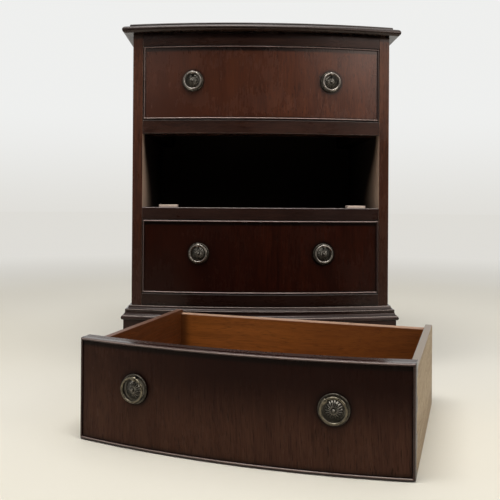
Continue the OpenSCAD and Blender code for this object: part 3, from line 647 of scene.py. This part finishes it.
# ---- Drawers ----
# Each drawer is a bowed mahogany front, veneered upright, dovetailed to thin sides, with a back and a
# bottom in grooves. The front's face and top are polished, and the fronts' tones are painted lighter and
# darker as light and shade, the upper one lightest. The lining is stained inside and raw outside. The
# floor drawer is turned, and its grain turns with it.
FRONT_EASE = 0.0004
LINING_SIDE_EASE = 0.0016
LINING_BACK_EASE = 0.0005
LINING_BOTTOM_EASE = 0.0004
# One finish, painted lightest on the upper front and darkest on the lower one, as light and shade.
FRONT_LIT_AND_SHADED_TONES = {"upper": ((0.094, 0.028, 0.0125, 1), (0.042, 0.0115, 0.0055, 1)),
               "middle": ((0.06, 0.025, 0.0145, 1), (0.034, 0.0128, 0.0076, 1)),
               "lower": ((0.03, 0.0062, 0.0028, 1), (0.013, 0.003, 0.0016, 1))}
FRONT_SHEEN = {"upper": 0.52, "middle": 0.08, "lower": 0.12}
# How much painted dark reflection each front carries.
FRONT_DARK_REFLECTION = {"upper": 0.0, "middle": 0.9, "lower": 0.0}
DARK_REFLECTION = (0.0085, 0.0016, 0.001, 1)
LEAF_JOINT = 0.0006
LEAF_FADES, UPWARD_FADES = (0.02, -0.2), (0.03, -0.05)
DARK_REFLECTION_RISES, DARK_REFLECTION_SPREADS = (-0.035, 0.04), (-0.25, 0.0)
FIELD_SHADE = (0.0075, 0.003)
FRONT_TOP = (0.04, 0.024, 0.02, 1)
FRONT_INSIDE = (0.13, 0.045, 0.016, 1)
BEAD_T = 0.0036
BEAD_PROUD = 0.002
BEAD_NOSE_R = 0.00155
BEAD_QUIRK = BEAD_T / 2 - BEAD_NOSE_R
BEAD_BACK = -0.0078
BEAD_SECTION = [(BEAD_BACK, 0), (-0.0012, 0), (-0.001, BEAD_QUIRK)]
BEAD_SECTION += [(BEAD_PROUD - BEAD_NOSE_R + BEAD_NOSE_R * sin(step * pi / 14),
                  BEAD_T / 2 - BEAD_NOSE_R * cos(step * pi / 14)) for step in range(15)]
BEAD_SECTION += [(-0.001, BEAD_T - BEAD_QUIRK), (-0.0012, BEAD_T), (BEAD_BACK, BEAD_T)]
BEAD_STEPS = 48
BEAD_CORNERS = (0.004, 0.996)
BEAD_PALE = (0.02, 0.006, 0.0045, 1)
BEAD_DEEP = (0.012, 0.0035, 0.003, 1)
BEAD_HIGHLIGHT = {"upper": (0.27, 0.19, 0.165, 1), "middle": (0.17, 0.125, 0.108, 1),
               "lower": (0.24, 0.175, 0.155, 1)}
LEFT_UPRIGHT_HIGHLIGHT = {"upper": 0.4, "middle": 0.0, "lower": 0.25}
LINING_PALE = (0.27, 0.088, 0.014, 1)
LINING_DEEP = (0.14, 0.04, 0.007, 1)
SIDE_LINING_PALE = (0.14, 0.04, 0.008, 1)
SIDE_LINING_DEEP = (0.065, 0.019, 0.005, 1)
SIDE_TOPS = {"left": (0.125, 0.064, 0.043, 1), "right": (0.225, 0.188, 0.153, 1)}
BACK_SHADE = (0.1, 0.027, 0.004, 1)
BACK_DARKENS = (-0.08, 0.2)
CORNER_SHADE = (0.04, 0.011, 0.003, 1)
CORNER_FROM, CORNER_TO = 0.02, 0.004
UNDERSIDE = (0.03, 0.018, 0.011, 1)
RAW_EDGE = (0.37, 0.225, 0.15, 1)
RAW_SIDE = {"Pale": (0.44, 0.34, 0.225, 1), "Deep": (0.25, 0.18, 0.11, 1), "Pore": (0.12, 0.075, 0.045, 1),
            "Stripe Scale": 90.0, "Pore Amount": 0.8}
joints = {joint["name"]: joint for joint in frame["joints"]}
slide_axis = joints["middle_drawer_slide"]["axis"]
FLOOR_TURN = atan2(-slide_axis[0], -slide_axis[1])
TURNS = {"upper": 0.0, "middle": FLOOR_TURN, "lower": 0.0}


def own_box(node, turn):
    """The lowest and the highest corner of a solid, in the axes of its drawer."""
    corners = [Matrix.Rotation(turn, 3, "Z") @ vert.co for vert in frame["nodes"][node].data.vertices]
    return [Vector([end(corner[axis] for corner in corners) for axis in range(3)]) for end in (min, max)]


def own_place(tree, turn, middle):
    """Where a point is from the middle of a piece, in the axes of its drawer."""
    placed = {"Vector": add_node(tree, "TexCoord").outputs["Object"], "Rotation": (0, 0, turn),
              "Location": -middle}
    return add_node(tree, "SeparateXYZ", {0: add_node(tree, "Mapping", placed).outputs[0]}).outputs


def bead_shape(node, turn):
    """A half-round bead with a quirk at each side: it follows the bow, and is mitred at the corners."""
    low, high = own_box(node, turn)
    middle_x, middle_z = (low.x + high.x) / 2, (low.z + high.z) / 2
    centre_y = low.y + BOW_R + BEAD_PROUD
    level = sorted([step / BEAD_STEPS for step in range(1, BEAD_STEPS + 1)] + list(BEAD_CORNERS))
    upright = [*BEAD_CORNERS, 1.0]
    path = [(0, 0.0)] + [(side, share) for side in range(4) for share in (level, upright)[side % 2]]
    shape = swept(BEAD_SECTION, len(path) - 1)
    for vert in shape.verts:
        side, share = path[round(vert.co.x)]
        out, inset = vert.co.y, vert.co.z
        across = (high.x - low.x) / 2 - inset
        rise = (high.z - low.z) / 2 - inset
        way = share * 2 - 1
        x, z = [(way * across, rise), (across, -way * rise), (-way * across, -rise),
                (-across, way * rise)][side]
        vert.co = (middle_x + x, bow_face(centre_y, out, x), middle_z + z)
    bmesh.ops.rotate(shape, verts=shape.verts, cent=(0, 0, 0), matrix=Matrix.Rotation(-turn, 3, "Z"))
    return shape


def lining_wood(name, pale, deep, along, stripe, turn, sheen=(0.45, 0.65)):
    """The thin stained wood of a drawer's sides, back and bottom."""
    finish = wood(name, pale, deep, along, stripe=stripe, pores=0.5, sheen=sheen, gloss=0.2, wear=0.0,
                  turn=turn)
    return finish, finish.node_tree, own_normal(finish.node_tree, turn)


for drawer, turn in TURNS.items():
    body = drawer + "_drawer"
    pale, deep = FRONT_LIT_AND_SHADED_TONES[drawer]
    front = wood(drawer + "_front_mahogany", pale, deep, "Z", stripe=300.0, sheen=(0.2, 0.32),
                 gloss=FRONT_SHEEN[drawer], wear=0.1, relief=0.00006, shade_and_grime=0.01, turn=turn)
    tree = front.node_tree
    front_low, front_high = own_box(drawer + "_drawer_front", turn)
    front_middle = (front_low + front_high) / 2
    spot = own_place(tree, turn, front_middle)
    fade = maths(tree, "MULTIPLY", ramp(tree, spot["X"], *LEAF_FADES, 0.0, 0.6),
                 ramp(tree, spot["Z"], *UPWARD_FADES, 0.6, 1.2))
    leaf = maths(tree, "ADD", ramp(tree, spot["X"], LEAF_JOINT, -LEAF_JOINT, 0.0, 0.2), fade)
    mix_over(front, maths(tree, "MULTIPLY", leaf, 1 - FRONT_DARK_REFLECTION[drawer]), deep)
    # Painted dark reflection on the floor drawer's front, stronger towards its top and its right.
    stained = maths(tree, "MULTIPLY", ramp(tree, spot["Z"], *DARK_REFLECTION_RISES, 0.0, FRONT_DARK_REFLECTION[drawer]),
                    ramp(tree, spot["X"], *DARK_REFLECTION_SPREADS, 0.35, 1.0))
    mix_over(front, stained, DARK_REFLECTION)
    # Painted shadow of the top bead on the field just below it.
    field_top = front_high.z - front_middle.z - BEAD_T
    shade_low, shade_high = (field_top - drop for drop in FIELD_SHADE)
    mix_over(front, ramp(tree, spot["Z"], shade_low, shade_high, 0.0, 0.92), PORE_AND_SHADE_BROWN)
    facing = own_normal(tree, turn)
    mix_over(front, ramp(tree, facing["Z"], 0.5, 0.8), FRONT_TOP)
    mix_over(front, maths(tree, "GREATER_THAN", facing["Y"], 0.5), FRONT_INSIDE, rough=0.6)
    eased_board(drawer + "_drawer_front", FRONT_EASE, front, body)

    bead = wood(drawer + "_bead_mahogany", BEAD_PALE, BEAD_DEEP, "X", pores=0.2, sheen=(0.15, 0.22),
                gloss=0.42, relief=0.00001, wear=0.0, turn=turn)
    tree = bead.node_tree
    # Painted highlight along the side of the bead that leans forwards and up, towards the lamps.
    mix_over(bead, ramp(tree, crest_light(tree, turn, 0.82, 0.57), 0.78, 0.97), BEAD_HIGHLIGHT[drawer])
    # A painted highlight down the left upright bead, where it faces forwards.
    spot = own_place(tree, turn, front_middle)
    field_end = front_low.x - front_middle.x + BEAD_T
    upright = ramp(tree, spot["X"], field_end, field_end - BEAD_T / 4)
    crest = ramp(tree, own_normal(tree, turn)["Y"], -0.8, -0.97, 0.0, LEFT_UPRIGHT_HIGHLIGHT[drawer])
    mix_over(bead, maths(tree, "MULTIPLY", upright, crest), BEAD_HIGHLIGHT[drawer])
    finished(drawer + "_bead", bead_shape(drawer + "_cockbead", turn), bead, body,
             drawer + "_cockbead")

    for hand, outward in (("left", -1), ("right", 1)):
        lining, tree, facing = lining_wood(f"{drawer}_{hand}_lining", SIDE_LINING_PALE, SIDE_LINING_DEEP,
                                           "Y", stripe=70.0, turn=turn)
        outer = maths(tree, "GREATER_THAN", maths(tree, "MULTIPLY", facing["X"], outward), 0.6)
        raw = place_group(tree, WOOD_GRAIN, {"Vector": grain_vector(tree, "Y", turn), **RAW_SIDE})["Color"]
        mix_over(lining, outer, raw, rough=0.75)
        mix_over(lining, ramp(tree, facing["Z"], 0.3, 0.7), SIDE_TOPS[hand], rough=0.5)
        mix_over(lining, ramp(tree, facing["Y"], 0.5, 0.8), RAW_EDGE, rough=0.75)
        eased_board(f"{drawer}_drawer_{hand}_side", LINING_SIDE_EASE, lining, body)

    back, tree, facing = lining_wood(drawer + "_back_lining", LINING_PALE, LINING_DEEP, "X", stripe=90.0,
                                     turn=turn)
    back_low, back_high = own_box(drawer + "_drawer_back", turn)
    spot = own_place(tree, turn, (back_low + back_high) / 2)
    left_end = (back_low.x - back_high.x) / 2
    mix_over(back, ramp(tree, spot["X"], *BACK_DARKENS, 0.0, 0.55), BACK_SHADE)
    corner = ramp(tree, spot["X"], left_end + CORNER_FROM, left_end + CORNER_TO, 0.0, 0.75)
    mix_over(back, corner, CORNER_SHADE)
    mix_over(back, ramp(tree, facing["Z"], 0.1, 0.5), RAW_EDGE, rough=0.75)
    eased_board(drawer + "_drawer_back", LINING_BACK_EASE, back, body)

    bottom, tree, facing = lining_wood(drawer + "_bottom_lining", LINING_PALE, LINING_DEEP, "X",
                                       stripe=60.0, turn=turn, sheen=(0.5, 0.7))
    mix_over(bottom, maths(tree, "LESS_THAN", facing["Z"], -0.5), UNDERSIDE, rough=0.8)
    eased_board(drawer + "_drawer_bottom", LINING_BOTTOM_EASE, bottom, body)

# ---- Pull backplates ----
# Stamped and chased brass plates, antiqued dark: a round rim, a sunk pan and a fluted dome with a boss.
# A post brazed to the plate carries a bored barrel for the ring's pin, and a shank goes through the front.
# The ring rubs the barrel, which is as bright as the ring itself.
BARREL_OUT = 0.007
PIN_HEIGHT = 0.01425
PLATE_PROFILE = [(0.0, 0.0086), (0.0009, 0.0085), (0.0016, 0.0081), (0.0021, 0.0074), (0.0023, 0.0068),
                 (0.0025, 0.0063), (0.0031, 0.0062), (0.0038, 0.0062), (0.0046, 0.0061), (0.0056, 0.0058),
                 (0.0066, 0.0054), (0.0076, 0.0048), (0.0085, 0.0041), (0.0093, 0.0033), (0.0099, 0.0025),
                 (0.0104, 0.0019), (0.0108, 0.0015), (0.0114, 0.0014), (0.0126, 0.0015), (0.014, 0.0015),
                 (0.015, 0.0015), (0.0154, 0.0016), (0.0156, 0.002), (0.0159, 0.0025), (0.0164, 0.0029),
                 (0.017, 0.003), (0.0176, 0.0029), (0.0181, 0.0025), (0.0184, 0.0019), (0.0184, 0.0012),
                 (0.0184, 0.0005), (0.0181, 0.0001), (0.017, 0.0), (0.012, 0.0), (0.0, 0.0)]
BARREL_PROFILE = [(-0.003, 0.00126), (-0.003, 0.0027), (-0.0027, 0.003), (0.0027, 0.003), (0.003, 0.0027),
                  (0.003, 0.00126), (-0.003, 0.00126)]
POST_PROFILE = [(0, 0.001), (0.0024, 0.001), (0.0024, 0.0016), (0.0019, 0.002), (0.0019, 0.0052),
                (0, 0.0052)]
SHANK_PROFILE = [(0, 0.0002), (0.0024, 0.0002), (0.0024, -0.0255), (0.0019, -0.0263), (0, -0.0263)]
FLUTES = 18
FLUTE_DEPTH = 0.0009
FLUTED_FROM, FLUTED_TO = 0.0035, 0.0103
FLUTE_START, FLUTE_DEEPENS = 0.0031, 0.003
FLUTE_END, FLUTE_SHALLOWS = 0.0108, 0.001
PAN_FACE = 0.0014
RIM_FROM = 0.0153
BRASS_BRIGHT = (0.19, 0.172, 0.145, 1)
BRASS_DARK = (0.008, 0.0072, 0.0062, 1)
RIM_BRIGHT = (0.1, 0.088, 0.07, 1)
HANDLED_BRASS = ((0.3, 0.268, 0.235, 1), (0.05, 0.044, 0.037, 1))
OLIVE_BRASS = ((0.16, 0.138, 0.1, 1), (0.03, 0.026, 0.019, 1))
RING_TONES = {"upper": HANDLED_BRASS, "middle": OLIVE_BRASS, "lower": HANDLED_BRASS}
brass_plate, brass_rim = (
    metal(name, bright, BRASS_DARK, patch_scale=260.0, patch_range=(0.35, 0.65), sheen=(0.26, 0.45),
          recess=0.0025)
    for name, bright in (("antique_brass_plate", BRASS_BRIGHT), ("antique_brass_rim", RIM_BRIGHT)))
brass_rings = {
    drawer: metal(drawer + "_antique_brass_ring", bright, dark, patch_scale=300.0, patch_range=(0.4, 0.7),
                  sheen=(0.22, 0.38), recess=0.0015)
    for drawer, (bright, dark) in RING_TONES.items()}


def pull_place(joint):
    """The place of a pull: X along its pin, Y into the drawer and Z up from the middle of its plate."""
    along = -Vector(joint["axis"])
    inward = Vector((-along.y, along.x, 0)).normalized()
    up = along.cross(inward)
    middle = Vector(joint["pos_m"]) + inward * BARREL_OUT - up * PIN_HEIGHT
    return Matrix.Translation(middle) @ Matrix((along, inward, up)).transposed().to_4x4()


def spun(shape, outline, axis, steps=ROUND_STEPS, centre=(0, 0, 0)):
    """Adds a solid turned on a lathe from an outline of points."""
    points = [shape.verts.new(point) for point in outline]
    lines = [shape.edges.new(pair) for pair in zip(points, points[1:])]
    bmesh.ops.spin(shape, geom=points + lines, cent=centre, axis=axis, angle=2 * pi, steps=steps,
                   use_merge=True, use_duplicate=False)


def pull_plate_shape():
    """Plate, post, barrel and shank, in the pull's own axes."""
    shape = bmesh.new()
    spun(shape, [(radius, -out, 0) for radius, out in PLATE_PROFILE], (0, 1, 0), steps=FLUTES * 8)
    bmesh.ops.remove_doubles(shape, verts=shape.verts, dist=SAME_POINT)
    for vert in shape.verts:
        radius = hypot(vert.co.x, vert.co.z)
        if FLUTED_FROM < radius < FLUTED_TO and vert.co.y < -PAN_FACE:
            rise = min(1, (radius - FLUTE_START) / FLUTE_DEEPENS)
            fall = min(1, (FLUTE_END - radius) / FLUTE_SHALLOWS)
            wave = 0.5 - 0.5 * cos(FLUTES * atan2(vert.co.z, vert.co.x))
            vert.co.y += FLUTE_DEPTH * (rise * fall) * wave
    plate_faces = set(shape.faces)
    spun(shape, [(x, -BARREL_OUT, PIN_HEIGHT + radius) for x, radius in BARREL_PROFILE], (1, 0, 0),
         centre=(0, -BARREL_OUT, PIN_HEIGHT))
    spun(shape, [(radius, -out, PIN_HEIGHT) for radius, out in POST_PROFILE], (0, 1, 0),
         centre=(0, 0, PIN_HEIGHT))
    for face in shape.faces:
        face.material_index = int(face not in plate_faces)
        if face in plate_faces and face.calc_center_median().xz.length > RIM_FROM:
            face.material_index = 2
    spun(shape, [(radius, -out, 0) for radius, out in SHANK_PROFILE], (0, 1, 0))
    return shape


pulls = [(drawer, f"{drawer}_{hand}", pull_place(joints[f"{drawer}_{hand}_ring_hinge"]))
         for drawer in TURNS for hand in ("left", "right")]
for drawer, pull, place in pulls:
    shape = pull_plate_shape()
    bmesh.ops.transform(shape, matrix=place, verts=shape.verts)
    backplate = finished(pull + "_backplate", shape, brass_plate, drawer + "_drawer",
                         pull + "_pull_plate")
    backplate.data.materials.append(brass_rings[drawer])
    backplate.data.materials.append(brass_rim)

# ---- Pull rings ----
# Cast brass rings, open at the top, sprung on to a pin that turns in the plate's barrel.
# Fingers have kept most of them brighter than the plates, and the floor drawer's have gone olive.
RING_R = 0.0146
WIRE_R = 0.00155
PIN_HALF = 0.0034
PIN_R = 0.0012
RING_GAP = 0.2145
LYING_PIN = Matrix.Translation((0, -BARREL_OUT, PIN_HEIGHT)) @ Matrix.Rotation(radians(90), 4, "Y")
WIRE_START = (Matrix.Rotation(RING_GAP, 4, "Y") @ Matrix.Translation((0, -BARREL_OUT, RING_R))
              @ Matrix.Rotation(radians(90), 4, "Y"))
for drawer, pull, place in pulls:
    shape = bmesh.new()
    wire = bmesh.ops.create_circle(shape, cap_ends=False, segments=20, radius=WIRE_R,
                                   matrix=WIRE_START)["verts"]
    loop = list({edge for vert in wire for edge in vert.link_edges})
    bmesh.ops.spin(shape, geom=wire + loop, cent=(0, 0, 0), axis=(0, 1, 0), angle=2 * (pi - RING_GAP),
                   steps=112, use_merge=False, use_duplicate=False)
    close_ends(shape)
    bmesh.ops.create_cone(shape, cap_ends=True, segments=24, radius1=PIN_R, radius2=PIN_R,
                          depth=2 * PIN_HALF, matrix=LYING_PIN)
    bmesh.ops.transform(shape, matrix=place, verts=shape.verts)
    finished(pull + "_ring", shape, brass_rings[drawer], pull + "_ring",
             pull + "_pull_ring")

# ---- Pull nuts ----
# Six-sided steel nuts on the threaded shanks, drawn up against the inside of each drawer front.
# They hold the backplates, and have dulled and stained in the drawers.
NUT_EASE = 0.0003
NUT_COLOUR = (0.4, 0.37, 0.32, 1)
NUT_STAIN = (0.16, 0.12, 0.08, 1)
nut_finish = metal("nut_steel", NUT_COLOUR, NUT_STAIN, patch_scale=600.0, patch_range=(0.45, 0.65),
                   sheen=(0.35, 0.5))
for drawer in TURNS:
    eased_board(drawer + "_pull_nuts", NUT_EASE, nut_finish, drawer + "_drawer")

# ---- Floor, backdrop and light ----
# A roll of cream paper on the studio floor that runs back into a pale wall, with soft boxes overhead and
# to the right. A black card behind the camera keeps the room out of the polish; though it is no lamp, it
# glows towards its upper corners to put bright reflections there. Nothing but the polish and the brass shows
# it.
FLOOR_R = 14.0
FLOOR_Z = -0.0003
FLOOR_FADES = (0.8, 2.8)
PAPER_CLOUDS = 0.9
FLOOR_CREAM = (0.7, 0.668, 0.588, 1)
FLOOR_WARM = (0.675, 0.635, 0.54, 1)
WALL_LOW = (0.735, 0.72, 0.68, 1)
WALL_HIGH = (0.86, 0.865, 0.855, 1)
CARD_FOOT = ((-2.6, -1.35, 0.003), (2.6, -0.6, 0.003))
CARD_FOLDS = ((0, -1.2, 0), (0, 0, 1.7))
CARD_DARK = (0.004, 0.0036, 0.0036, 1)
CARD_GLOWING = (0.95, 0.85, 0.8, 1)
CARD_GLOW = 3.4
LIT_RIGHT, LIT_LEFT, LIT_UP = (0.2, 1.5), (-0.7, -1.5), (0.7, 1.15)
WALL_RISES = (-0.06, 0.13)
PLAIN_LEVEL = 0.34
SOFT_BOXES = {  # place, point that it is aimed at, size in metres, power in watts
    "key_box": ((-0.25, -0.8, 2.5), (0.0, -0.2, 0.1), (1.8, 0.9), 48),
    "overhead_box": ((0.1, 0.1, 2.7), (0.0, 0.0, 0.0), (2.4, 2.0), 20),
    "fill_box": ((1.9, -1.3, 1.6), (0.0, 0.0, 0.3), (1.2, 1.2), 12),
}


def seen_directly(tree):
    """One for camera, glossy and transmission rays, and zero for the rays that light the object."""
    path = add_node(tree, "LightPath").outputs
    either = maths(tree, "MAXIMUM", path["Is Camera Ray"], path["Is Glossy Ray"])
    return maths(tree, "MAXIMUM", either, path["Is Transmission Ray"])


floor_paper, tree, paper = new_material("floor_paper")
place = add_node(tree, "TexCoord").outputs["Object"]
cloud = ramp(tree, noise(tree, place, PAPER_CLOUDS), 0.35, 0.65)
tree.links.new(tint(tree, cloud, FLOOR_CREAM, FLOOR_WARM), paper.inputs["Base Color"])
paper.inputs["Roughness"].default_value = 0.7
paper.inputs["Specular IOR Level"].default_value = 0.2
reach = add_node(tree, "VectorMath", {0: place}, operation="LENGTH").outputs["Value"]
fade = maths(tree, "MULTIPLY", ramp(tree, reach, *FLOOR_FADES), seen_directly(tree))
glow = add_node(tree, "Emission", {"Color": WALL_LOW, "Strength": 1.0}).outputs[0]
both = add_node(tree, "MixShader", {0: fade, 1: paper.outputs[0], 2: glow}).outputs[0]
tree.links.new(both, tree.nodes["Material Output"].inputs["Surface"])
shape = bmesh.new()
bmesh.ops.create_circle(shape, cap_ends=True, segments=96, radius=FLOOR_R,
                        matrix=Matrix.Translation((0, 0, FLOOR_Z)))
new_piece("studio_floor", shape, floor_paper)

card_black, tree = new_material("card_black")[:2]
spot = place_on(tree)
sideways = maths(tree, "ADD", ramp(tree, spot["X"], *LIT_RIGHT), ramp(tree, spot["X"], *LIT_LEFT, 0.0, 0.25))
share = maths(tree, "MULTIPLY", ramp(tree, spot["Z"], *LIT_UP), sideways)
dim = tint(tree, share, CARD_DARK, CARD_GLOWING)
card_glow = add_node(tree, "Emission", {"Color": dim, "Strength": CARD_GLOW}).outputs[0]
tree.links.new(card_glow, tree.nodes["Material Output"].inputs["Surface"])
shape = bmesh.new()
edge = shape.edges.new([shape.verts.new(corner) for corner in CARD_FOOT])
for fold in CARD_FOLDS:
    grown = bmesh.ops.extrude_edge_only(shape, edges=[edge])["geom"]
    bmesh.ops.translate(shape, verts=verts_of(grown), vec=fold)
    edge = next(item for item in grown if isinstance(item, bmesh.types.BMEdge))
card = new_piece("black_card", shape, card_black)
card.visible_camera = False
card.visible_diffuse = False
card.visible_shadow = False

world = bpy.data.worlds.new("studio")
bpy.context.scene.world = world
world.use_nodes = True
tree = world.node_tree
level = tree.nodes["Background"]
level.inputs["Color"].default_value = (1, 1, 1, 1)
level.inputs["Strength"].default_value = PLAIN_LEVEL
way = add_node(tree, "SeparateXYZ", {0: add_node(tree, "TexCoord").outputs["Generated"]}).outputs["Z"]
pale = tint(tree, ramp(tree, way, *WALL_RISES), WALL_LOW, WALL_HIGH)
wall = add_node(tree, "Background", {"Color": pale, "Strength": 1.0}).outputs[0]
both = add_node(tree, "MixShader", {0: seen_directly(tree), 1: level.outputs[0], 2: wall}).outputs[0]
tree.links.new(both, tree.nodes["World Output"].inputs["Surface"])

for name, (place, target, size, power) in SOFT_BOXES.items():
    lamp = bpy.data.lights.new(name, "AREA")
    lamp.shape = "RECTANGLE"
    lamp.size, lamp.size_y = size
    lamp.energy = power
    aim = (Vector(target) - Vector(place)).to_track_quat("-Z", "Y").to_matrix().to_4x4()
    holder = bpy.data.objects.new(name, lamp)
    holder.matrix_world = Matrix.Translation(place) @ aim
    bpy.context.scene.collection.objects.link(holder)

# ---- Camera ----
# A lens of about 50 mm, some 1.2 metres in front of the chest and at half its height, with the back
# of the camera lowered to keep the uprights upright.
CAMERA_AT = (-0.05184, -1.1585, 0.31079)
YAW, PITCH, ROLL = -1.356, 0.239, -0.390
FILM_WIDTH = 36
LENS_LENGTH = 49.33
BACK_LOWERED = -0.109
lens = bpy.data.cameras.new("camera")
lens.sensor_width = FILM_WIDTH
lens.lens = LENS_LENGTH
lens.shift_y = BACK_LOWERED
lens.clip_start = 0.05
camera = bpy.data.objects.new("camera", lens)
camera.matrix_world = (Matrix.Translation(CAMERA_AT) @ Matrix.Rotation(radians(YAW), 4, "Z")
                       @ Matrix.Rotation(radians(PITCH), 4, "X") @ Matrix.Rotation(radians(ROLL), 4, "Y")
                       @ Matrix.Rotation(radians(90), 4, "X"))
bpy.context.scene.collection.objects.link(camera)
bpy.context.scene.camera = camera
bpy.context.scene.view_settings.view_transform = "Standard"

bpy.context.view_layer.update()
